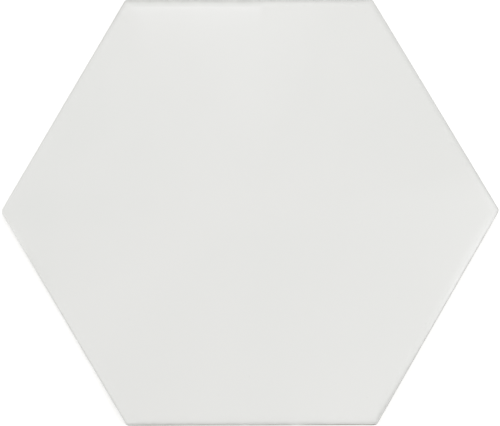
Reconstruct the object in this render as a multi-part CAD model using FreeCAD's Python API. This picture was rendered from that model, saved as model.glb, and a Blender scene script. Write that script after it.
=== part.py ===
import FreeCAD, Part
import math
import os

# Hexagonal floor tile: one body of pressed porcelain, glazed on its face and fired.
# Millimetres, +Z up. The origin is the middle of the back, in the plane that the tile beds on.
# One corner points along +X, so two of the six joint faces look along +Y and -Y.
# The glazed face looks along +Z.

# Driving dimensions of the fired body
across_flats = 175.0
thickness = 8.5
corner_radius = 1.5

# Edge of the glazed face: it rolls down from a level plateau, then turns sharply into the joint face
roll_width = 2.4
roll_drop = 0.35
plateau_corner_radius = 5.0
arris_radius = 0.8

# Joint faces: an upright land above, a skirt that leans in below it, and a chamfer at its foot
skirt_height = 3.2
skirt_inset = 0.45
foot_chamfer = 0.5

# Back: a honeycomb of shallow drafted pockets inside a plain rim, to key into the adhesive
rim_width = 6.0
rib_width = 2.6
pocket_depth = 0.9
pocket_draft_degrees = 30.0
nominal_pitch = 15.0

# Number of outlines that the roll is drawn through
roll_outlines = 5

# A regular hexagon turns by 60 degrees at each corner, and half of that on each side of it
SIDES = 6
TURN_DEGREES = 60.0
HALF_TURN_DEGREES = 30.0
COS_HALF_TURN = math.cos(math.radians(HALF_TURN_DEGREES))

half_flats = across_flats / 2

# The roll is an arc that leaves the plateau level and has fallen by roll_drop after roll_width
roll_radius = (roll_width**2 + roll_drop**2) / (2 * roll_drop)
roll_end_angle = math.asin(roll_width / roll_radius)
# The arris arc goes on from that slope until it is upright
arris_width = arris_radius * (1 - math.sin(roll_end_angle))
arris_drop = arris_radius * math.cos(roll_end_angle)
plateau_inset = roll_width + arris_width
land_top = thickness - roll_drop - arris_drop
roll_foot = thickness - roll_drop

# The relief's field ends where the rim starts, and its rows of cells are spaced to fill it exactly
field_apothem = half_flats - skirt_inset - foot_chamfer - rim_width
cell_rows = max(1, round(field_apothem / (nominal_pitch * COS_HALF_TURN)))
cell_pitch = field_apothem / (cell_rows * COS_HALF_TURN)
draft_run = pocket_depth * math.tan(math.radians(pocket_draft_degrees))


def along(degrees, length, z=0.0):
    """Point at a distance from the Z axis, in a direction measured from +X."""
    angle = math.radians(degrees)
    return FreeCAD.Vector(length * math.cos(angle), length * math.sin(angle), z)


def hexagon(apothem, z, first_corner=0.0):
    """Corners of a plain hexagon. The first lies in the direction first_corner, in degrees from +X."""
    to_corner = apothem / COS_HALF_TURN
    return [along(first_corner + side * TURN_DEGREES, to_corner, z) for side in range(SIDES)]


def flat_face(points):
    """Plane face through points in order."""
    return Part.Face(Part.makePolygon(points + points[:1]))


def wall_section():
    """Section through the wall, from the axis of a corner's round out to the joint face."""
    axis = (half_flats - corner_radius) / COS_HALF_TURN
    wall = axis + corner_radius
    arris_slope = (math.pi / 2 + roll_end_angle) / 2
    arris_centre = FreeCAD.Vector(wall - arris_radius, 0, land_top)
    towards_middle = FreeCAD.Vector(math.sin(arris_slope), 0, math.cos(arris_slope))
    arris_middle = arris_centre + towards_middle * arris_radius
    corners = [
        FreeCAD.Vector(wall - arris_width, 0, roll_foot),
        FreeCAD.Vector(axis, 0, roll_foot),
        FreeCAD.Vector(axis, 0, 0),
        FreeCAD.Vector(wall - skirt_inset - foot_chamfer, 0, 0),
        FreeCAD.Vector(wall - skirt_inset, 0, foot_chamfer),
        FreeCAD.Vector(wall, 0, skirt_height),
        FreeCAD.Vector(wall, 0, land_top),
    ]
    lines = Part.makePolygon(corners).Edges
    arris = Part.Arc(corners[-1], arris_middle, corners[0]).toShape()
    return Part.Face(Part.Wire(lines + [arris]))


def wall_border():
    """Border of the tile, as wide as the corner's radius: the section turned and drawn round the sides."""
    upright = FreeCAD.Vector(0, 0, 1)
    side_length = (half_flats - corner_radius) / COS_HALF_TURN
    corner_axis = along(0, side_length)
    pieces = []
    section = wall_section()
    section.rotate(corner_axis, upright, -HALF_TURN_DEGREES)
    corner = section.revolve(corner_axis, upright, TURN_DEGREES)
    section.rotate(corner_axis, upright, TURN_DEGREES)
    side = section.extrude(along(2 * TURN_DEGREES, side_length))
    for turn in range(SIDES):
        for piece in (corner, side):
            turned = piece.copy()
            turned.rotate(FreeCAD.Vector(), upright, turn * TURN_DEGREES)
            pieces.append(turned)
    return pieces


def rounded_outline(inset, radius, z):
    """Rounded hexagon, a distance inside the joint faces, as six arcs joined by six lines."""
    corners = []
    for side, centre in enumerate(hexagon(half_flats - inset - radius, z)):
        facing = side * TURN_DEGREES
        start = centre + along(facing - HALF_TURN_DEGREES, radius)
        middle = centre + along(facing, radius)
        end = centre + along(facing + HALF_TURN_DEGREES, radius)
        corners.append((start, middle, end))
    edges = []
    for (start, middle, end), following in zip(corners, corners[1:] + corners[:1]):
        edges.append(Part.Arc(start, middle, end).toShape())
        edges.append(Part.LineSegment(end, following[0]).toShape())
    return Part.Wire(edges)


def roll():
    """The shallow roll from the arris up to the plateau, whose corners are rounder than the tile's."""
    outlines = []
    arris_corner_radius = corner_radius - arris_width
    for step in range(roll_outlines):
        share = step / (roll_outlines - 1)
        slope = roll_end_angle * (1 - share)
        inset = plateau_inset - roll_radius * math.sin(slope)
        z = thickness - roll_radius * (1 - math.cos(slope))
        radius = arris_corner_radius + share * (plateau_corner_radius - arris_corner_radius)
        outlines.append(rounded_outline(inset, radius, z))
    return Part.makeLoft(outlines, True, False)


def tile_blank():
    """The tile before its back is keyed."""
    core = flat_face(hexagon(half_flats - corner_radius, 0.0)).extrude(FreeCAD.Vector(0, 0, roll_foot))
    return core.multiFuse(wall_border() + [roll()]).removeSplitter()


def drafted(half_width, first_corner):
    """Pocket cutter: a hexagon that narrows with the draft, from the back plane to the pocket's floor."""
    # The cutter starts one pocket's depth outside the back, so that its mouth is cut cleanly
    mouth = hexagon(half_width + draft_run, -pocket_depth, first_corner)
    floor = hexagon(half_width - draft_run, pocket_depth, first_corner)
    faces = [flat_face(mouth), flat_face(floor)]
    for side in range(SIDES):
        after = (side + 1) % SIDES
        faces.append(flat_face([mouth[side], mouth[after], floor[after], floor[side]]))
    return Part.Solid(Part.Shell(faces))


def cell_centres():
    """Centres of the honeycomb's cells around the middle one, out to the field's edge."""
    centres = []
    for across in range(-cell_rows, cell_rows + 1):
        for up in range(-cell_rows, cell_rows + 1):
            in_field = abs(across + up) <= cell_rows
            is_middle = across == 0 and up == 0
            if in_field and not is_middle:
                centres.append(along(0, across * cell_pitch) + along(TURN_DEGREES, up * cell_pitch))
    return centres


def back_pockets():
    """All pockets of the back. The rim cuts the outermost row of cells through its middle."""
    # A cell turns a flat side to each of its six neighbours, and the field a corner to +X
    pocket = drafted((cell_pitch - rib_width) / 2, HALF_TURN_DEGREES)
    field = drafted(field_apothem, 0.0)
    cells = []
    for centre in cell_centres():
        cell = pocket.copy()
        cell.translate(centre)
        cells.append(cell)
    return Part.makeCompound(cells).common(field)


def hexagon_tile():
    """The whole tile. The middle cell of its back stays solid, as a level pad."""
    return tile_blank().cut(back_pockets()).Solids[0]


os.makedirs("parts", exist_ok=True)
tile = hexagon_tile()
tile.exportStep("parts/hexagon_tile.step")
box = tile.BoundBox
print("hexagon_tile", "valid", tile.isValid(), "solids", len(tile.Solids), "faces", len(tile.Faces))
print("box", round(box.XLength, 3), round(box.YLength, 3), round(box.ZLength, 3), "base", round(box.ZMin, 4))
print("volume cm3", round(tile.Volume / 1000, 2), "cell pitch", round(cell_pitch, 2), "rows", cell_rows)
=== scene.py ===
# %% [markdown]
# # A glazed hexagonal floor tile
# The real object is one body: clay pressed in a six-sided die, sprayed with a white glaze and fired.
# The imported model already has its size, its rolled edge and its keyed back as exact solids.
# This file gives it the skin that the kiln gives: a glaze that pools, creeps and thins, and bare
# biscuit below it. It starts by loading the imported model, which nothing here moves or resizes.

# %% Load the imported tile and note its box
import bisect
import math

import bmesh
import bpy
from mathutils import Matrix, Vector, geometry, noise


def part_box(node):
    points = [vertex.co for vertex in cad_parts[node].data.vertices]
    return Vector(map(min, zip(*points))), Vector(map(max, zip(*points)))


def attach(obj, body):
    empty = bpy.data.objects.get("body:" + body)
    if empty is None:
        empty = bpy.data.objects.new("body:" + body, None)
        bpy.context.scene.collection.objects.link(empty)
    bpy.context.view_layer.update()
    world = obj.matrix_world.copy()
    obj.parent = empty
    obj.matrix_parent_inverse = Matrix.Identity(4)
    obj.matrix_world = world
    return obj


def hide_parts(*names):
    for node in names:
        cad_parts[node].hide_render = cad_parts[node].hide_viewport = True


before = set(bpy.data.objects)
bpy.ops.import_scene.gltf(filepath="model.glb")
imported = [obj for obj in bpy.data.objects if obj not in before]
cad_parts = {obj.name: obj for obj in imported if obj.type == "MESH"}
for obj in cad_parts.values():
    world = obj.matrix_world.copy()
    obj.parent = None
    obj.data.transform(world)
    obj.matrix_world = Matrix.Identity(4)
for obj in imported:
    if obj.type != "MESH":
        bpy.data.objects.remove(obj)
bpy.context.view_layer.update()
TILE_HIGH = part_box("hexagon_tile")[1]
THICKNESS = TILE_HIGH.z
HALF_FLATS = TILE_HIGH.y
print("tile over corners", round(2 * TILE_HIGH.x, 4), "thick", round(THICKNESS, 4))

# %% [markdown]
# ## The sizes that the skin follows
# A skin that stands for a solid has to lie where the solid lies. The overall sizes are read from the
# packed tile's box above. The edge and the back relief can't be read from a box, so their sizes are
# written again here, in millimetres turned into metres, under the names that a tile maker would use.

# %% Sizes of the edge and of the back
MM = 0.001
CORNER_RADIUS = 1.5 * MM
PLATEAU_CORNER_RADIUS = 5.0 * MM
PLATEAU_INSET = 3.0 * MM
ARRIS_RADIUS = 0.8 * MM
SKIRT_HEIGHT = 3.2 * MM
SKIRT_INSET = 0.45 * MM
FOOT_CHAMFER = 0.5 * MM
RIM_WIDTH = 6.0 * MM
RIB_WIDTH = 2.6 * MM
POCKET_DEPTH = 0.9 * MM
NOMINAL_PITCH = 15.0 * MM

SIDES = 6
TURN = math.radians(60)
HALF_TURN = TURN / 2
COS_HALF_TURN = math.cos(HALF_TURN)

# %% [markdown]
# ## Walking round the tile
# Everything near the edge is described by a place on the way round: 0 is the corner on +X, 1 the next
# corner anticlockwise, and so on up to 6, which is 0 again. The far side of the tile runs from 1 to 2 and
# the near side from 4 to 5. Each column of the skin stands at one such place, closer together at the
# corners, where the outline turns.

# %% Columns round the outline
CORNER_STEPS = 8
SIDE_STEPS = 125
CORNER_SPAN = 0.01


def stations():
    """For each column of the skin: its corner number, its place on the arc or side, and its way round."""
    found = []
    for corner in range(SIDES):
        for step in range(CORNER_STEPS + 1):
            share = step / CORNER_STEPS
            found.append(("arc", corner, share, corner + (share - 0.5) * CORNER_SPAN))
        for step in range(1, SIDE_STEPS):
            share = step / SIDE_STEPS
            found.append(("side", corner, share, corner + share))
    return found


STATIONS = stations()
print("columns round the tile", len(STATIONS))


# %% Points and places
def toward(angle, length=1.0):
    """Point in the plane, at a distance from the middle, in a direction from +X."""
    return Vector((math.cos(angle), math.sin(angle))) * length


def spot(station, inset, radius):
    """Point of one column on the rounded hexagon that lies an inset inside the joint faces."""
    kind, corner, share, way = station
    to_centre = (HALF_FLATS - inset - radius) / COS_HALF_TURN
    centre = toward(corner * TURN, to_centre)
    if kind == "arc":
        return centre + toward(corner * TURN + (share - 0.5) * TURN, radius)
    following = toward((corner + 1) * TURN, to_centre)
    lift = toward(corner * TURN + HALF_TURN, radius)
    return centre.lerp(following, share) + lift


def share_of(flat, side):
    """How far along one side of the hexagon a point lies, from 0 at its first corner to 1."""
    # The least reach keeps the middle of the tile, which is on no side, from a division by nothing
    reach = max(flat.dot(toward(HALF_TURN + side * TURN)), MM)
    across = flat.dot(toward(HALF_TURN + side * TURN + math.pi / 2))
    return 0.5 + across / (2 * reach * math.tan(HALF_TURN))


def place_of(point):
    """Way round and inset of any point of the tile, as seen from above."""
    flat = point.xy
    reaches = [flat.dot(toward(HALF_TURN + side * TURN)) for side in range(SIDES)]
    side = reaches.index(max(reaches))
    return side + share_of(flat, side), HALF_FLATS - reaches[side]


# %% [markdown]
# ## Values that change on the way round
# A kiln doesn't treat six sides alike. Hand-made variation is easy to write as a few values at a few
# places, with a smooth curve through them. A small class keeps the list closed on itself, so that the
# value at 6 is the value at 0, and looks up any place between.

# %% Values round the tile
def eased(share):
    """0 to 1 with a soft start and end, and held outside."""
    share = min(max(share, 0.0), 1.0)
    return share * share * (3 - 2 * share)


class Round:
    """Values at places on the way round the tile, with an eased step from each to the next."""

    def __init__(self, values):
        places = sorted(values.items())
        last, last_value = places[-1]
        first, first_value = places[0]
        looped = [(last - SIDES, last_value)] + places + [(first + SIDES, first_value)]
        self.places = [place for place, value in looped]
        self.values = [value for place, value in looped]

    def at(self, way):
        way %= SIDES
        after = min(bisect.bisect_right(self.places, way), len(self.places) - 1)
        low, high = self.places[after - 1], self.places[after]
        share = eased((way - low) / (high - low))
        return self.values[after - 1] * (1 - share) + self.values[after] * share


def ripple(point, wavelength, height, seed):
    """Smooth noise between about minus and plus a height, with the same result on every run."""
    return height * noise.noise(Vector((point[0] / wavelength, point[1] / wavelength, seed)))


# %% [markdown]
# ## How a glazed edge really runs
# A pressed edge is even, but the glaze on it isn't. Surface tension draws wet glaze back from the sharp
# arris and piles it up in a low bead just inside. In the photo that bead shows as a bright line along one
# half of the far side, three millimetres in, and again close to the arris below the right-hand corner.
# Where the glaze ran off, the arris looks dark and a little worn, as by the lower right corner. The material
# later paints that darkness, partly as wear and partly as shade, and paints part of the bead's bright line
# as a highlight.
# A modifier can't know this, so the roll and the bead are given round the tile, in millimetres.

# %% Roll and bead, all the way round
ROLL_WIDTH = Round({0.0: 1.6, 0.3: 1.3, 0.7: 1.4, 1.0: 2.2, 1.3: 1.9, 2.0: 1.7, 2.4: 2.0, 4.5: 2.0, 5.0: 1.8,
                    5.6: 1.6})
ROLL_DROP = Round({0.0: 0.24, 0.3: 0.18, 0.7: 0.20, 1.0: 0.26, 1.3: 0.22, 2.0: 0.18, 2.3: 0.10, 3.0: 0.10,
                   4.0: 0.11, 4.6: 0.12, 5.0: 0.18, 5.3: 0.20, 5.6: 0.22})
BEAD_HEIGHT = Round({0.0: 0.05, 0.2: 0.01, 1.0: 0.0, 1.43: 0.005, 1.47: 0.075, 1.8: 0.085, 2.0: 0.06,
                     2.06: 0.01, 3.0: 0.01, 4.0: 0.005, 5.0: 0.01, 5.4: 0.02, 5.7: 0.05})
BEAD_START = Round({0.0: 0.1, 0.06: 0.4, 1.0: 1.2, 1.43: 2.2, 1.47: 2.65, 2.0: 2.65, 2.06: -0.8, 4.0: -0.8,
                    4.3: 0.8, 5.0: 0.2, 5.3: 0.0, 5.6: 0.15, 5.9: 0.15})
BEAD_RISE = 0.9 * MM
BEAD_FALL = 1.6 * MM
LEVEL_SINK = 0.11 * MM
# Each wave's length, height and seed
SLOW_WAVE = (48 * MM, 0.018 * MM, 3.7)
SHORT_WAVE = (13 * MM, 0.004 * MM, 8.1)


def level(point):
    """Height of the glazed field: a hair below the solid's face, with the slow waves of fired glaze."""
    return THICKNESS - LEVEL_SINK + ripple(point, *SLOW_WAVE) + ripple(point, *SHORT_WAVE)


def bead(way, inset):
    """Height that the drawn-back glaze adds at an inset from the joint face."""
    distance = inset - BEAD_START.at(way) * MM - BEAD_RISE
    width = BEAD_RISE if distance < 0 else BEAD_FALL
    return BEAD_HEIGHT.at(way) * MM * math.exp(-((distance / width) ** 2))


# %% [markdown]
# ## The section of the face
# One column of the face is a line of points from the open field to the top of the joint face. The roll
# is an arc that leaves the field level, and the arris is a second arc that goes on from the roll's slope
# until it is upright. Written this way, the two meet without a crease wherever the roll changes.

# %% Points of the face, from the field to the arris
FIELD_INSET = 12 * MM
FIELD_ROWS = 13
ROLL_ROWS = 9
ARRIS_ROWS = 7


def edge_corner_radius(inset):
    """Corner radius of the outline, which grows from the joint face to the plateau."""
    share = min(inset / PLATEAU_INSET, 1.0)
    return CORNER_RADIUS + share * (PLATEAU_CORNER_RADIUS - CORNER_RADIUS)


def edge_profile(roll_width, roll_drop):
    """Insets from the joint face, and how far the surface has fallen there."""
    roll_radius = (roll_width**2 + roll_drop**2) / (2 * roll_drop)
    roll_end = math.asin(roll_width / roll_radius)
    plateau_inset = roll_width + ARRIS_RADIUS * (1 - math.sin(roll_end))
    profile = []
    for row in range(FIELD_ROWS):
        # Each row is nearer to the plateau's edge by the same share, so the rows crowd towards it
        closing = (plateau_inset / FIELD_INSET) ** (row / FIELD_ROWS)
        profile.append((FIELD_INSET * closing, 0.0))
    for row in range(ROLL_ROWS):
        slope = roll_end * row / ROLL_ROWS
        profile.append((plateau_inset - roll_radius * math.sin(slope), roll_radius * (1 - math.cos(slope))))
    for row in range(ARRIS_ROWS + 1):
        slope = roll_end + (math.pi / 2 - roll_end) * row / ARRIS_ROWS
        fall = roll_drop + ARRIS_RADIUS * (math.cos(roll_end) - math.cos(slope))
        profile.append((ARRIS_RADIUS * (1 - math.sin(slope)), fall))
    return profile


def face_section(station):
    """Points of one column from the open field of the glaze out to the top of the joint face."""
    way = station[3]
    points = []
    for inset, fall in edge_profile(ROLL_WIDTH.at(way) * MM, ROLL_DROP.at(way) * MM):
        flat = spot(station, inset, edge_corner_radius(inset))
        points.append(flat.to_3d() + Vector((0, 0, level(flat) - fall + bead(way, inset))))
    return points


# %% [markdown]
# ## The joint face and the glaze line
# The spray catches the upper part of the joint face only. It ends in a wavy line with a thickened lip,
# where the glaze stopped as it melted, and everything below is bare biscuit. In the photo the near wall
# shows it: pale above, darker at the foot, where the material also paints a contact shade. The wall on
# its left is pale nearly to the floor, and the one on its right is bare almost to the arris, so the
# line's height is given round the tile, in millimetres.
# Modelled as geometry, the lip catches the light as the real one does. The rows of each column crowd
# round the line, wherever it runs, because nothing else bends there.

# %% Glaze line
GLAZE_LINE = Round({0.0: 2.6, 0.5: 3.2, 1.0: 3.0, 1.5: 3.6, 2.0: 3.2, 2.6: 2.6, 3.0: 1.9, 3.5: 1.7, 3.8: 2.2,
                    4.1: 5.6, 4.45: 5.2, 4.8: 5.3, 4.94: 5.6, 5.02: 6.0, 5.3: 6.1, 5.6: 5.4, 5.85: 4.6})
LOWEST_LINE = 1.1 * MM
# Each one's length, height and seed. Only the part of a drip above its start counts
SWEEP = (40 * MM, 0.5 * MM, 21.3)
WANDER = (9 * MM, 0.4 * MM, 33.9)
DRIP = (5 * MM, 1.8 * MM, 47.2)
DRIP_START = 0.36 * MM


def glaze_line(way, flat):
    """Height at which the glaze ends on the joint face, at a point of the outline."""
    drip = max(ripple(flat, *DRIP) - DRIP_START, 0.0)
    height = GLAZE_LINE.at(way) * MM + ripple(flat, *SWEEP) + ripple(flat, *WANDER) - drip
    return max(height, LOWEST_LINE)


# %% Points of the wall, from below the arris to the back
GLAZE_THICKNESS = 0.13 * MM
LIP_SWELL = 0.05 * MM
LIP_WIDTH = 0.35 * MM
LIP_REACH = 0.7 * MM
LAND_ROWS = 6
LIP_ROWS = 12
SKIRT_ROWS = 7
FOOT_ROWS = 3
FOOT_MARGIN = 0.1 * MM
SETTLING = 0.8 * MM


def wall_inset(height, line):
    """How far inside the solid's joint face the skin lies at a height."""
    covered = eased((height - line) / LIP_WIDTH + 0.5)
    lip = math.exp(-(((height - line) / LIP_WIDTH - 1) ** 2))
    skirt = SKIRT_INSET * min(max(1 - height / SKIRT_HEIGHT, 0.0), 1.0)
    return skirt + GLAZE_THICKNESS * (1 - covered) + LIP_SWELL * (1 - lip) * covered


def wall_section(station, top):
    """Points of one column from below the arris down to the edge of the back."""
    line = glaze_line(station[3], spot(station, 0.0, CORNER_RADIUS))
    above = min(line + LIP_REACH, top - SETTLING / 2)
    below = max(line - LIP_REACH, FOOT_CHAMFER + FOOT_MARGIN)
    stretches = [(top, above, LAND_ROWS), (above, below, LIP_ROWS), (below, FOOT_CHAMFER, SKIRT_ROWS)]
    places = []
    for high, low, rows in stretches:
        for row in range(1, rows + 1):
            height = high + (low - high) * row / rows
            places.append((wall_inset(height, line) * eased((top - height) / SETTLING), height))
    for row in range(1, FOOT_ROWS + 1):
        slope = math.pi / 2 * row / FOOT_ROWS
        inset = wall_inset(FOOT_CHAMFER, line) + FOOT_CHAMFER * (1 - math.cos(slope))
        places.append((inset, FOOT_CHAMFER * (1 - math.sin(slope))))
    return [spot(station, inset, CORNER_RADIUS).to_3d() + Vector((0, 0, height)) for inset, height in places]


# %% [markdown]
# ## A small loom for the skin
# The skin is woven from rings. Two rings with the same number of points are joined by a band of quads.
# A flat area with any outlines, and with holes, is filled by a constrained Delaunay triangulation, which
# Blender offers as one call. It needs only the outlines, and says which outline each triangle is in, so
# the holes drop out by themselves.

# %% Rings, bands and fills
# What the triangulation is asked for: only triangles inside an outline, and points kept this exact
INSIDE_OUTLINES = 1
EXACTNESS = 1e-9


class Loom:
    """One mesh that is woven from rings of points. Each of its faces belongs to a sheet of the skin."""

    def __init__(self):
        self.mesh = bmesh.new()
        self.sheet = self.mesh.faces.layers.int.new("sheet")

    def ring(self, points):
        return [self.mesh.verts.new(point) for point in points]

    def face(self, verts, sheet):
        self.mesh.faces.new(verts)[self.sheet] = sheet

    def band(self, first, second, sheet):
        for index in range(len(first)):
            after = (index + 1) % len(first)
            self.face((first[index], first[after], second[after], second[index]), sheet)

    def fill(self, outer, sheet, holes=(), loose=()):
        """Triangles inside the outer ring, outside the holes and through the loose points."""
        rings = [outer] + list(holes)
        verts = [vert for ring in rings for vert in ring] + list(loose)
        loops = []
        start = 0
        for ring in rings:
            loops.append(list(range(start, start + len(ring))))
            start += len(ring)
        flat = [vert.co.xy for vert in verts]
        found = geometry.delaunay_2d_cdt(flat, [], loops, INSIDE_OUTLINES, EXACTNESS)
        triangles, sources, origins = found[2], found[3], found[5]
        for triangle, origin in zip(triangles, origins):
            # A triangle in a hole lies in two outlines, the outer one and the hole's
            if list(origin) == [0]:
                self.face([verts[sources[corner][0]] for corner in triangle], sheet)


# %% [markdown]
# ## Weave the face and the walls
# Each column of the skin is one section, from the open field over the roll and the arris and down the
# wall. Turned the other way, each row of those sections is one ring.

# %% Face and walls
FACE_SHEET, WALL_SHEET, BACK_SHEET = range(3)
# The face's sheet ends, and the wall's begins, half-way down the arris
SEAM_RING = FIELD_ROWS + ROLL_ROWS + 1 + ARRIS_ROWS / 2
loom = Loom()
columns = []
for station in STATIONS:
    section = face_section(station)
    columns.append(section + wall_section(station, section[-1].z))
rings = [loom.ring(row) for row in zip(*columns)]
for number, (upper, lower) in enumerate(zip(rings, rings[1:])):
    loom.band(upper, lower, FACE_SHEET if number < SEAM_RING else WALL_SHEET)
print("rings", len(rings), "points in a ring", len(rings[0]))

# %% [markdown]
# ## Fill the open field
# The field inside the last ring looks flat, but fired glaze has slow waves, which a raking light finds.
# It is filled through a lattice of points that are close enough together to carry them.

# %% Open field
FIELD_SPACING = 2.4 * MM


def field_points(spacing, reach):
    """Triangular lattice over the tile, as far as a distance from the middle to the flats."""
    points = []
    count = math.ceil(2 * reach / spacing)
    for across in range(-count, count + 1):
        for up in range(-count, count + 1):
            point = Vector((spacing * (across + up / 2), spacing * up * COS_HALF_TURN))
            depth = max(point.dot(toward(HALF_TURN + side * TURN)) for side in range(SIDES))
            if depth < reach:
                points.append(point)
    return points


lattice = field_points(FIELD_SPACING, HALF_FLATS - FIELD_INSET - FIELD_SPACING / 2)
loose = loom.ring([Vector((p.x, p.y, level(p))) for p in lattice])
loom.fill(rings[0], FACE_SHEET, loose=loose)
print("points in the open field", len(lattice))

# %% [markdown]
# ## Outlines of the keyed back
# The press leaves a honeycomb of shallow pockets, so that the adhesive grips. A row of pockets along the
# rim is cut in half by it. Each pocket is one convex outline, cut by the rim where it has to be, and
# rounded at its corners.

# %% Honeycomb outlines
FIELD_REACH = HALF_FLATS - SKIRT_INSET - FOOT_CHAMFER - RIM_WIDTH
CELL_ROWS = round(FIELD_REACH / (NOMINAL_PITCH * COS_HALF_TURN))
CELL_PITCH = FIELD_REACH / (CELL_ROWS * COS_HALF_TURN)
CELL_REACH = (CELL_PITCH - RIB_WIDTH) / 2


def cut_by(polygon, normal, reach):
    """The part of a convex polygon that lies less than a reach along a normal."""
    kept = []
    for index, point in enumerate(polygon):
        before = polygon[index - 1]
        inside = point.dot(normal) <= reach
        if inside != (before.dot(normal) <= reach):
            share = (reach - before.dot(normal)) / (point - before).dot(normal)
            kept.append(before.lerp(point, share))
        if inside:
            kept.append(point)
    return kept


def cell_outline(centre, shrink):
    """Outline of one pocket, drawn in by a distance, and cut by the rim."""
    to_corner = (CELL_REACH - shrink) / COS_HALF_TURN
    outline = [centre + toward(HALF_TURN + side * TURN, to_corner) for side in range(SIDES)]
    for side in range(SIDES):
        outline = cut_by(outline, toward(HALF_TURN + side * TURN), FIELD_REACH - shrink)
    return outline


def cell_centres():
    """Centres of the pockets, round the plain pad in the middle and out to the rim."""
    centres = []
    for across in range(-CELL_ROWS, CELL_ROWS + 1):
        for up in range(-CELL_ROWS, CELL_ROWS + 1):
            in_field = abs(across + up) <= CELL_ROWS
            is_middle = across == 0 and up == 0
            if in_field and not is_middle:
                centres.append(toward(0, across * CELL_PITCH) + toward(TURN, up * CELL_PITCH))
    return centres


print("pocket pitch", round(CELL_PITCH / MM, 2), "rows", CELL_ROWS)


# %% Round the corners of an outline
def rounded(polygon, radius, steps):
    """Convex polygon with an arc of a radius at each corner."""
    points = []
    count = len(polygon)
    for index, corner in enumerate(polygon):
        back = (polygon[index - 1] - corner).normalized()
        ahead = (polygon[(index + 1) % count] - corner).normalized()
        half_angle = back.angle(ahead) / 2
        centre = corner + (back + ahead).normalized() * (radius / math.sin(half_angle))
        start = corner + back * (radius / math.tan(half_angle)) - centre
        end = corner + ahead * (radius / math.tan(half_angle)) - centre
        sweep = start.angle_signed(end)
        for step in range(steps + 1):
            turned = Matrix.Rotation(-sweep * step / steps, 2) @ start
            points.append(centre + turned)
    return points


# %% [markdown]
# ## Weave the back
# A pocket is a few rings of its outline, each a little further in and deeper, which follow the soft S of
# a worn die. Rounding by rings costs far less than a bevel modifier on the whole relief, and it keeps
# the lands between the pockets truly flat. The lands are one fill, with the pockets' mouths as its holes.

# %% Back
POCKET_RUN = 1.0 * MM
POCKET_LEAD = 0.3 * MM
POCKET_RINGS = 6
POCKET_CORNER = 1.3 * MM
POCKET_CORNER_STEPS = 4
FLAT_MARGIN = 0.15


def pocket_rings(centre):
    """Rings of one pocket from the flat land around it to its floor."""
    found = []
    slope = [row / POCKET_RINGS for row in range(POCKET_RINGS + 1)]
    # The first ring lies in the land and the last in the floor, so that the shading of both stays flat
    for share in [-FLAT_MARGIN] + slope + [1 + FLAT_MARGIN]:
        shrink = share * POCKET_RUN - POCKET_LEAD
        radius = POCKET_CORNER - shrink / 2
        outline = rounded(cell_outline(centre, shrink), radius, POCKET_CORNER_STEPS)
        height = POCKET_DEPTH * eased(share)
        found.append(loom.ring([Vector((p.x, p.y, height)) for p in outline]))
    return found


mouths = []
for centre in cell_centres():
    pocket = pocket_rings(centre)
    for upper, lower in zip(pocket, pocket[1:]):
        loom.band(upper, lower, BACK_SHEET)
    loom.face(pocket[-1], BACK_SHEET)
    mouths.append(pocket[0])
loom.fill(rings[-1], BACK_SHEET, holes=mouths)
print("pockets", len(mouths))

# %% [markdown]
# ## Lay the skin out flat
# A baked picture of the finish needs the skin laid flat. A general unwrap would cut this tile into many
# scraps along its rolled edge. It has three plain parts instead: the face and the back, each as seen
# straight on, and six strips of wall, drawn larger because their detail is finer. The two hexagons nest
# side to side, as tiles do on a floor, because that lets them be larger than in a row.

# %% Flat layout
# Places, gaps and steps are shares of the layout's width
HEXAGON_SHARE = 0.55
STRIP_SHARE = 0.47
SHEET_GAP = 0.01
SIDE_LENGTH = 2 * HALF_FLATS * math.tan(HALF_TURN)
SHEET_SCALE = HEXAGON_SHARE / (2 * TILE_HIGH.x)
STRIP_SCALE = STRIP_SHARE / SIDE_LENGTH
FACE_MIDDLE = Vector((0.285, 0.25))
BACK_MIDDLE = FACE_MIDDLE + toward(HALF_TURN, 2 * HALF_FLATS * SHEET_SCALE + SHEET_GAP)
STRIP_MIDDLES = (0.25, 0.75)
STRIP_START = 0.77
STRIP_STEP = 0.07


def laid_flat(point, sheet, side):
    """Where a point of the skin lies in the flat layout."""
    if sheet == FACE_SHEET:
        return FACE_MIDDLE + point.xy * SHEET_SCALE
    if sheet == BACK_SHEET:
        return BACK_MIDDLE + Vector((-point.x, point.y)) * SHEET_SCALE
    column, row = side % 2, side // 2
    along = (share_of(point.xy, side) - 0.5) * SIDE_LENGTH * STRIP_SCALE
    inset = HALF_FLATS - point.xy.dot(toward(HALF_TURN + side * TURN))
    drop = (point.z - inset) * STRIP_SCALE
    return Vector((STRIP_MIDDLES[column] + along, STRIP_START + row * STRIP_STEP + drop))


# %% [markdown]
# ## Turn the weave into an object
# The loom's mesh gets its outward normals, smooth shading and the flat layout in one pass over its
# faces, and becomes the tile's object. An open edge would be a hole in the skin, so they are counted.

# %% Finish the mesh
bmesh.ops.recalc_face_normals(loom.mesh, faces=loom.mesh.faces)
layout = loom.mesh.loops.layers.uv.new("OFBake")
for face in loom.mesh.faces:
    face.smooth = True
    side = int(place_of(face.calc_center_median())[0]) % SIDES
    for loop in face.loops:
        loop[layout].uv = laid_flat(loop.vert.co, face[loom.sheet], side)
open_edges = sum(1 for edge in loom.mesh.edges if not edge.is_manifold)
tile_mesh = bpy.data.meshes.new("glazed_tile")
loom.mesh.to_mesh(tile_mesh)
loom.mesh.free()
tile = bpy.data.objects.new("glazed_tile", tile_mesh)
bpy.context.scene.collection.objects.link(tile)
triangles = sum(len(face.vertices) - 2 for face in tile_mesh.polygons)
print("triangles", triangles, "open edges", open_edges)
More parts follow.
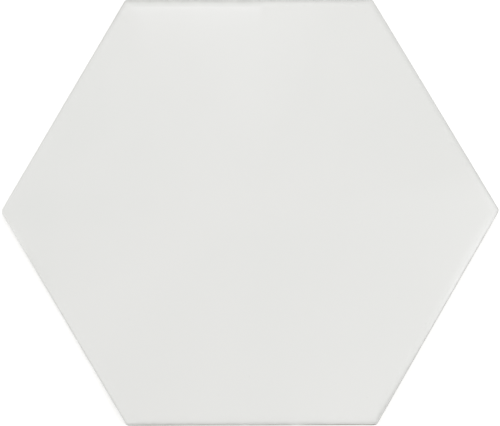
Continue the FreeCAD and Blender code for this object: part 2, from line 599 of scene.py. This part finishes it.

# %% [markdown]
# ## Where the glaze is thin, and where light and shade are painted
# The finish follows the same way round as the shape. A shader knows only where a point is, so four
# numbers are worked out for each point and noted on the mesh, for the material to read. The cover is the
# height above the glaze line. The painted light is a painted highlight along the bead, with a tail
# towards the middle, and painted light and shade over the field towards the rim. The field is lighter on
# some sides, and darker and a trace greener on others, such as the left. The wear and shade says how dark
# the arris is, in a narrow band that is darkest at the edge, partly worn glaze and partly painted shade.
# The foot shade is a painted contact shade, grey at the foot of the joint face. It stays out of the
# pockets behind.

# %% Painted light, worn and shaded arris, and foot shade, all the way round
# Painted highlight along the bead, and painted light and shade over the field towards the rim
BEAD_PAINTED_HIGHLIGHT = Round({0.0: 0.65, 0.1: 0.3, 0.3: 0.0, 1.0: 0.0, 1.43: 0.0, 1.47: 0.48, 1.96: 0.57, 2.02: 0.1,
                        2.5: 0.1, 2.7: 0.4, 2.85: 0.4, 2.95: 1.1, 3.08: 1.15, 3.25: 0.4, 3.9: 0.3, 4.1: 0.0,
                        5.15: 0.0, 5.35: 0.3, 5.5: 0.5, 5.65: 0.85, 5.8: 1.0})
BEAD_HIGHLIGHT_TAIL = Round({0.0: 1.1, 0.2: 1.2, 1.4: 1.5, 1.47: 3.8, 2.0: 3.6, 2.1: 1.4, 3.0: 4.0, 3.3: 1.4, 5.0: 0.9})
FIELD_PAINTED_LIGHT = Round({0.0: 0.28, 0.5: -0.5, 1.0: 0.0, 1.5: 0.26, 2.0: 0.08, 2.15: -0.4, 2.5: -0.5, 2.8: -0.4,
                    3.0: -0.9, 3.2: -0.3, 3.5: 0.05, 4.0: 0.0, 4.5: 0.11, 5.0: 0.22, 5.5: 0.19})
# Worn glaze at the arris, with painted shade along the edges that roll away from the light
ARRIS_WEAR_AND_SHADE = Round({0.0: 0.8, 0.03: 0.8, 0.3: 0.5, 0.5: 0.3, 1.0: 0.3, 1.05: 0.7, 1.4: 0.75, 1.5: 0.75,
                    1.96: 0.75, 2.03: 0.6, 2.2: 0.2, 3.0: 0.0, 3.2: 0.0, 3.35: 0.4, 3.5: 0.6, 3.95: 0.6,
                    4.06: 0.6, 4.8: 0.5, 4.96: 0.35, 5.03: 1.2, 5.3: 1.1, 5.5: 0.9, 5.85: 0.85, 5.95: 0.4})
WEAR_AND_SHADE_REACH = Round({0.0: 0.75, 0.5: 0.65, 1.0: 1.1, 1.43: 1.2, 1.47: 1.7, 1.97: 1.7, 2.03: 0.9, 3.2: 0.3,
                    4.0: 0.3, 4.06: 0.8, 4.9: 0.8, 5.0: 1.2, 5.2: 0.75, 5.4: 0.6, 5.6: 0.5, 5.9: 0.5})
ARRIS_FOOT = THICKNESS - 1.2 * MM
WEAR_AND_SHADE_FALL = 1.8 * MM
FOOT_SHADE_REACH = 4.4 * MM


def painted_light_at(way, inset):
    """Painted light on the glaze: a painted highlight along the bead and painted light and shade over the
    field, from -1 for the darkest, a trace greener, to 1 for the brightest.
    """
    past = inset - BEAD_START.at(way) * MM
    along_bead = eased(past / BEAD_RISE) * math.exp(-max(past - BEAD_RISE, 0.0) / (BEAD_HIGHLIGHT_TAIL.at(way) * MM))
    outwards = max(1 - inset / HALF_FLATS, 0.0)
    return BEAD_PAINTED_HIGHLIGHT.at(way) * along_bead + FIELD_PAINTED_LIGHT.at(way) * outwards**2


def worn_and_shaded(way, inset, height):
    """How dark the arris is, partly from worn glaze and partly from painted shade: 0 for not at all, 1 for
    fully.
    """
    across = inset / (WEAR_AND_SHADE_REACH.at(way) * MM)
    down = max(ARRIS_FOOT - height, 0.0) / WEAR_AND_SHADE_FALL
    return ARRIS_WEAR_AND_SHADE.at(way) * math.exp(-(across**2) - down**2)


def foot_shaded(height):
    """Painted contact shade at the foot of the joint face, from 0 to 1, most just above the foot's chamfer.
    """
    return eased(height / FOOT_CHAMFER) * (1 - eased(height / FOOT_SHADE_REACH))


# %% Note cover, painted light, arris wear and shade, and foot shade on the mesh
WALL_REACH = 1.2 * MM
DEEP = 2.0
notes = {name: [] for name in ("glaze_cover", "painted_glaze_light", "arris_wear_and_shade", "foot_shade")}
for vert in tile_mesh.vertices:
    way, inset = place_of(vert.co)
    height = vert.co.z
    glazed = height > THICKNESS / 2
    on_wall = inset < WALL_REACH and height < THICKNESS - WALL_REACH
    if on_wall:
        cover = (height - glaze_line(way, vert.co)) / MM
    else:
        cover = DEEP if glazed else -DEEP
    notes["glaze_cover"].append(cover)
    notes["painted_glaze_light"].append(painted_light_at(way, inset) if glazed else 0.0)
    notes["arris_wear_and_shade"].append(worn_and_shaded(way, inset, height) if glazed else 0.0)
    # Grey at the foot of the joint face: painted contact shade
    notes["foot_shade"].append(foot_shaded(height) if on_wall else 0.0)
for name, values in notes.items():
    tile_mesh.attributes.new(name, "FLOAT", "POINT").data.foreach_set("value", values)
    print(name, "from", round(min(values), 2), "to", round(max(values), 2))

# %% [markdown]
# ## Writing shaders as arithmetic
# A node tree is a sum with wires. This small class lets the sum be written as one: a Value wraps a
# socket, and + - * on it add the Math nodes. Any other node comes from `add`, which takes its type,
# its settings and what its sockets get.

# %% Values
class Value:
    """The output socket of a node, for use in arithmetic."""

    def __init__(self, graph, socket):
        self.graph = graph
        self.socket = socket

    def __add__(self, other):
        return self.graph.maths("ADD", self, other)

    def __radd__(self, other):
        return self.graph.maths("ADD", other, self)

    def __sub__(self, other):
        return self.graph.maths("SUBTRACT", self, other)

    def __rsub__(self, other):
        return self.graph.maths("SUBTRACT", other, self)

    def __mul__(self, other):
        return self.graph.maths("MULTIPLY", self, other)

    def __rmul__(self, other):
        return self.graph.maths("MULTIPLY", other, self)


# %% Graphs
class Graph:
    """A node tree that is written from empty."""

    def __init__(self, tree):
        self.tree = tree
        tree.nodes.clear()

    def add(self, kind, settings=None, inputs=None, output=0):
        """A new node of a kind, with its settings made and its sockets filled or linked."""
        node = self.tree.nodes.new(kind)
        for name, value in (settings or {}).items():
            setattr(node, name, value)
        for name, value in (inputs or {}).items():
            if isinstance(value, Value):
                self.tree.links.new(value.socket, node.inputs[name])
            else:
                node.inputs[name].default_value = value
        return Value(self, node.outputs[output]) if node.outputs else None

    def maths(self, operation, first, second):
        return self.add("ShaderNodeMath", {"operation": operation}, {0: first, 1: second})

    def ramp(self, value, low, high):
        """0 below low, 1 above high, and a soft step between."""
        settings = {"interpolation_type": "SMOOTHSTEP", "clamp": True}
        inputs = {"Value": value, "From Min": low, "From Max": high}
        return self.add("ShaderNodeMapRange", settings, inputs)

    def between(self, mask, first, second):
        """Number that is first where the mask is 0 and second where it is 1."""
        return first * (1 - mask) + second * mask

    def blend(self, mask, first, second):
        """Colour that is first where the mask is 0 and second where it is 1."""
        # A Mix node also has sockets for numbers and vectors, so its two colours are sockets 6 and 7
        inputs = {0: mask, 6: first, 7: second}
        return self.add("ShaderNodeMix", {"data_type": "RGBA"}, inputs, output=2)

    def noted(self, name):
        """A number that was noted on the mesh."""
        return self.add("ShaderNodeAttribute", {"attribute_name": name}, output="Fac")

    def stretched(self, place, x, y, z):
        """The same place with each direction stretched, for grain that runs one way."""
        return self.add("ShaderNodeVectorMath", {"operation": "MULTIPLY"}, {0: place, 1: (x, y, z)})

    def grain(self, place, scale, detail=2.0, roughness=0.5):
        """Noise between 0 and 1, at a number of grains to the metre."""
        inputs = {"Vector": place, "Scale": scale, "Detail": detail, "Roughness": roughness}
        return self.add("ShaderNodeTexNoise", {}, inputs)

    def specks(self, place, spacing, radius, kept, dimensions="3D"):
        """Round specks of a radius, one to each cell of a spacing, of which a share is kept."""
        settings = {"voronoi_dimensions": dimensions}
        inputs = {"Vector": place, "Scale": 1 / spacing}
        distance = self.add("ShaderNodeTexVoronoi", settings, inputs, output="Distance")
        chance = self.add("ShaderNodeTexVoronoi", settings, inputs, output="Color")
        drawn = self.maths("GREATER_THAN", self.add("ShaderNodeSeparateColor", {}, {0: chance}), 1 - kept)
        reach = radius / spacing
        return drawn * (1 - self.ramp(distance, reach / 4, reach))


# %% [markdown]
# ## The white glaze
# The glaze is a soft, satin white with a trace of green-grey. It isn't a flat colour: it clouds slowly
# over the face, carries a painted highlight along the bead and painted light and shade over the field,
# darkens at the arris, partly as wear and partly as painted shade, shows the body through where it thins
# out above its line, and has a few pinholes where gas escaped. Its skin is a fine orange peel, which
# breaks up the light on it.

# %% Glaze
GLAZE_WHITE = (0.790, 0.790, 0.770, 1.0)
# Clouds of the glaze; the same colour also serves as painted shade
GLAZE_CLOUD_AND_SHADE = (0.764, 0.771, 0.749, 1.0)
# Colour of the painted highlight
GLAZE_PAINTED_HIGHLIGHT = (0.885, 0.887, 0.872, 1.0)
# Colour of worn or thin glaze, also used as painted shade at the arris
GLAZE_WORN_AND_SHADED = (0.612, 0.616, 0.596, 1.0)
PINHOLE = (0.520, 0.505, 0.475, 1.0)
GLAZE_ROUGHNESS = 0.34
SHEEN_CHANGE = 0.06
CLOUDS_PER_METRE = 22.0
PATCHES_PER_METRE = 260.0
SHEENS_PER_METRE = 60.0
DIMPLES_PER_METRE = 420.0
# In millimetres, as the cover is
THIN_REACH = 1.9
DIMPLE_DEPTH = 0.010
PINHOLE_DEPTH = 0.030


def glaze_colour(graph, place, pinholes):
    """White with its clouds, a painted highlight and painted shade, and darker where the arris is worn and
    shaded or the glaze is thin.
    """
    painted_light = graph.noted("painted_glaze_light")
    # Painted highlight where the noted number is above 0, painted shade where it is below
    painted_highlight = graph.maths("MAXIMUM", painted_light, 0.0)
    painted_shade = graph.maths("MAXIMUM", 0.0 - painted_light, 0.0)
    clouds = graph.ramp(graph.grain(place, CLOUDS_PER_METRE, detail=3.0, roughness=0.6), 0.35, 0.7)
    colour = graph.blend(painted_shade + clouds * 0.3, GLAZE_WHITE, GLAZE_CLOUD_AND_SHADE)
    colour = graph.blend(painted_highlight, colour, GLAZE_PAINTED_HIGHLIGHT)
    patchy = 0.75 + graph.ramp(graph.grain(place, PATCHES_PER_METRE, detail=3.0), 0.3, 0.7) * 0.5
    thin_at_line = 1 - graph.ramp(graph.noted("glaze_cover"), 0.0, THIN_REACH)
    # Darker at the arris, partly as worn glaze and partly as painted shade
    colour = graph.blend(graph.noted("arris_wear_and_shade") * patchy + thin_at_line * 0.5, colour, GLAZE_WORN_AND_SHADED)
    return graph.blend(pinholes * 0.5, colour, PINHOLE)


def satin_glaze(graph, place):
    """Colour, roughness and relief of the glaze. The relief is in millimetres."""
    pinholes = graph.specks(place, spacing=12 * MM, radius=0.18 * MM, kept=0.14, dimensions="2D")
    roughness = GLAZE_ROUGHNESS + graph.grain(place, SHEENS_PER_METRE) * SHEEN_CHANGE
    peel = graph.grain(place, DIMPLES_PER_METRE) * DIMPLE_DEPTH - pinholes * PINHOLE_DEPTH
    return glaze_colour(graph, place, pinholes), roughness, peel


# %% [markdown]
# ## The bare biscuit
# Below the glaze line the body is matt and warm, with the sandy grain of pressed powder and a few
# specks of iron. The die leaves fine upright drag marks on the joint face, which come from grain that is
# squeezed in height. The lands of the back carry the chalky wash that keeps a tile from sticking to the
# kiln's rollers. It is wiped off in streaks along one direction, and it never reaches into the pockets.

# %% Biscuit
BISCUIT_PALE = (0.414, 0.403, 0.370, 1.0)
BISCUIT_WARM = (0.331, 0.315, 0.279, 1.0)
IRON_SPECK = (0.165, 0.120, 0.080, 1.0)
KILN_WASH = (0.620, 0.610, 0.590, 1.0)
BISCUIT_ROUGHNESS = 0.95
BLUSHES_PER_METRE = 35.0
SAND_PER_METRE = 1800.0
POWDER_PER_METRE = 600.0
STAINS_PER_METRE = 520.0
RIDGES_PER_METRE = 900.0
DRAG_SQUEEZE = 0.06
WIPES_PER_METRE = 190.0
WIPE_SQUEEZE = 0.12
WASH_TOP = 0.02 * MM
WASH_END = 0.12 * MM
# In millimetres
SAND_HEIGHT = 0.05
POWDER_HEIGHT = 0.05
RIDGE_HEIGHT = 0.03


def biscuit_colour(graph, place, height, sand):
    """Pale body with warmer blushes, stained drag marks, painted contact shade at the foot, iron specks and
    kiln wash.
    """
    dragged = graph.stretched(place, 1, 1, DRAG_SQUEEZE)
    stains = graph.ramp(graph.grain(dragged, STAINS_PER_METRE, detail=3.0), 0.5, 0.75)
    blushes = graph.ramp(graph.grain(place, BLUSHES_PER_METRE, detail=4.0) + sand * 0.3, 0.5, 0.85)
    # The foot's grey is painted contact shade
    warm = blushes + graph.noted("foot_shade") * 0.9 + stains * 0.35
    colour = graph.blend(warm, BISCUIT_PALE, BISCUIT_WARM)
    iron = graph.specks(place, spacing=2.6 * MM, radius=0.17 * MM, kept=0.3)
    colour = graph.blend(iron * 0.8, colour, IRON_SPECK)
    wiped = graph.stretched(place, WIPE_SQUEEZE, 1, 1)
    streaks = graph.ramp(graph.grain(wiped, WIPES_PER_METRE, detail=4.0), 0.34, 0.62)
    on_land = 1 - graph.ramp(height, WASH_TOP, WASH_END)
    return graph.blend(on_land * streaks * 0.75, colour, KILN_WASH)


def bare_biscuit(graph, place, height):
    """Colour, roughness and relief of the biscuit. The relief is in millimetres."""
    sand = graph.grain(place, SAND_PER_METRE, detail=4.0, roughness=0.7)
    powder = graph.grain(place, POWDER_PER_METRE)
    ridges = graph.grain(graph.stretched(place, 1, 1, DRAG_SQUEEZE), RIDGES_PER_METRE)
    grit = sand * SAND_HEIGHT + powder * POWDER_HEIGHT + ridges * RIDGE_HEIGHT
    # Less half of all three, so that the biscuit's relief lies at the level where the glaze's starts
    middle = (SAND_HEIGHT + POWDER_HEIGHT + RIDGE_HEIGHT) / 2
    return biscuit_colour(graph, place, height, sand), BISCUIT_ROUGHNESS, grit - middle


# %% [markdown]
# ## One firing, one material
# One material dresses the whole tile, as one firing did. Glaze and biscuit could be two shaders with a
# Mix Shader between them. Here one shader carries both, and a mask mixes their colours, roughnesses and
# reliefs, because an exported model holds only one shader for each material, and then the glaze keeps
# its shine there. The line between them comes from the heights that were noted on the mesh, roughened
# by a fine noise, because a melting edge is never sharp.

# %% Material of the tile
FRINGES_PER_METRE = 900.0
# In millimetres, as the cover is
FRINGE_HEIGHT = 0.5
LINE_BLUR = 0.05


def glazed_porcelain():
    material = bpy.data.materials.new("glazed_porcelain")
    material.use_nodes = True
    graph = Graph(material.node_tree)
    place = graph.add("ShaderNodeTexCoord", output="Object")
    height = graph.add("ShaderNodeSeparateXYZ", inputs={0: place}, output="Z")
    fringe = (graph.grain(place, FRINGES_PER_METRE, detail=3.0) - 0.5) * FRINGE_HEIGHT
    glazed = graph.ramp(graph.noted("glaze_cover") + fringe, -LINE_BLUR, LINE_BLUR)
    biscuit, biscuit_roughness, grit = bare_biscuit(graph, place, height)
    glaze, glaze_roughness, peel = satin_glaze(graph, place)
    relief = {"Height": graph.between(glazed, grit, peel), "Distance": MM, "Strength": 1.0}
    inputs = {
        "Base Color": graph.blend(glazed, biscuit, glaze),
        "Roughness": graph.between(glazed, biscuit_roughness, glaze_roughness),
        "Normal": graph.add("ShaderNodeBump", inputs=relief),
    }
    surface = graph.add("ShaderNodeBsdfPrincipled", inputs=inputs)
    graph.add("ShaderNodeOutputMaterial", inputs={"Surface": surface})
    print("nodes in the tile's material", len(material.node_tree.nodes))
    return material


tile_mesh.materials.append(glazed_porcelain())
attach(tile, "root")
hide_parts("hexagon_tile")

# %% [markdown]
# ## Floor and sky
# The photo is a cut-out on white, as for a catalogue. A floor that only reflects can't be white without
# more light on the tile, so the floor glows a little, for the camera and for mirror-like rays alone. To
# every other ray it is a plain pale floor, and it keeps the tile's soft shadow.

# %% Rays that see the background
def seen_directly(graph):
    """1 for rays of the camera, of reflections and of transmission, and 0 for the light that scatters."""
    names = ("Is Camera Ray", "Is Glossy Ray", "Is Transmission Ray")
    camera_ray, glossy_ray, clear_ray = [graph.add("ShaderNodeLightPath", output=name) for name in names]
    return graph.maths("MAXIMUM", graph.maths("MAXIMUM", camera_ray, glossy_ray), clear_ray)


# %% Floor
FLOOR_HALF = 1.6
FLOOR_PALE = (0.82, 0.82, 0.81, 1.0)
FLOOR_GLOW = 0.50


def pale_floor():
    material = bpy.data.materials.new("pale_floor")
    material.use_nodes = True
    graph = Graph(material.node_tree)
    matt = graph.add("ShaderNodeBsdfDiffuse", inputs={"Color": FLOOR_PALE})
    glow = graph.add("ShaderNodeEmission", inputs={"Strength": seen_directly(graph) * FLOOR_GLOW})
    both = graph.add("ShaderNodeAddShader", inputs={0: matt, 1: glow})
    graph.add("ShaderNodeOutputMaterial", inputs={"Surface": both})
    return material


floor_mesh = bpy.data.meshes.new("floor")
floor_corners = [(-FLOOR_HALF, -FLOOR_HALF, 0), (FLOOR_HALF, -FLOOR_HALF, 0),
                 (FLOOR_HALF, FLOOR_HALF, 0), (-FLOOR_HALF, FLOOR_HALF, 0)]
floor_mesh.from_pydata(floor_corners, [], [(0, 1, 2, 3)])
floor_mesh.materials.append(pale_floor())
floor = bpy.data.objects.new("floor", floor_mesh)
bpy.context.scene.collection.objects.link(floor)
print("floor", 2 * FLOOR_HALF, "metres square")

# %% World
TENT_WHITE = (1.0, 1.0, 1.0, 1.0)
SKY_LIGHT = 0.52
world = bpy.data.worlds.new("white_tent")
world.use_nodes = True
bpy.context.scene.world = world
sky = Graph(world.node_tree)
brightness = SKY_LIGHT + seen_directly(sky) * (1.0 - SKY_LIGHT)
sky_light = sky.add("ShaderNodeBackground", inputs={"Color": TENT_WHITE, "Strength": brightness})
sky.add("ShaderNodeOutputWorld", inputs={"Surface": sky_light})
print("light from all round", SKY_LIGHT)

# %% [markdown]
# ## Lamps
# A tent of soft light does most of the work, as for any white object on white. Three lamps give it a
# direction: one high behind the tile, one on the right, and a large one further off on the left.

# %% Lamps
def softbox(name, place, size, power):
    """Round lamp that faces the tile, with its place and size in metres and its power in watts."""
    lamp = bpy.data.lights.new(name, "AREA")
    lamp.shape = "DISK"
    lamp.size = size
    lamp.energy = power
    holder = bpy.data.objects.new(name, lamp)
    holder.location = place
    holder.rotation_euler = (-Vector(place)).to_track_quat("-Z", "Y").to_euler()
    bpy.context.scene.collection.objects.link(holder)
    print(name, power, "watts at", round(Vector(place).length, 2), "metres")


softbox("high_softbox", place=(-0.03, 0.46, 1.20), size=0.35, power=2.0)
softbox("right_softbox", place=(0.90, -0.42, 0.84), size=0.5, power=5.0)
softbox("left_softbox", place=(-2.08, 0.0, 1.20), size=1.0, power=15.8)

# %% [markdown]
# ## Camera
# The photo looks almost straight down. A camera fitted to the six corners stands two and a half metres
# away and leans 11 degrees towards the near side, so the near wall shows as a thin band.

# %% Camera
FRAME_WIDTH = 500
LOOK_TILT = math.radians(10.75)
LOOK_TURN = math.radians(9.05)
LOOK_ROLL = math.radians(-8.8)
CAMERA_DISTANCE = 2.486
PIXELS_PER_METRE = 2459.5
# In pixels, as the frame's width is
MIDDLE_DOWN = 0.9

camera_data = bpy.data.cameras.new("camera")
camera = bpy.data.objects.new("camera", camera_data)
bpy.context.scene.collection.objects.link(camera)
turned = Matrix.Rotation(LOOK_TURN, 3, "Z")
tilted = Matrix.Rotation(-LOOK_TILT, 3, "X")
rolled = Matrix.Rotation(LOOK_ROLL, 3, "Z")
to_world = (rolled @ tilted @ turned).transposed()
camera.matrix_world = Matrix.Translation(to_world @ Vector((0, 0, CAMERA_DISTANCE))) @ to_world.to_4x4()
camera_data.lens = camera_data.sensor_width * PIXELS_PER_METRE * CAMERA_DISTANCE / FRAME_WIDTH
camera_data.shift_y = MIDDLE_DOWN / FRAME_WIDTH
bpy.context.scene.camera = camera
print("lens", round(camera_data.lens, 1), "camera at", [round(v, 3) for v in camera.location])

# %% [markdown]
# ## Colours as they are written, and the end
# The Standard view shows each colour as it was written, with no film-like curve.

# %% View settings and the end
bpy.context.scene.view_settings.view_transform = "Standard"
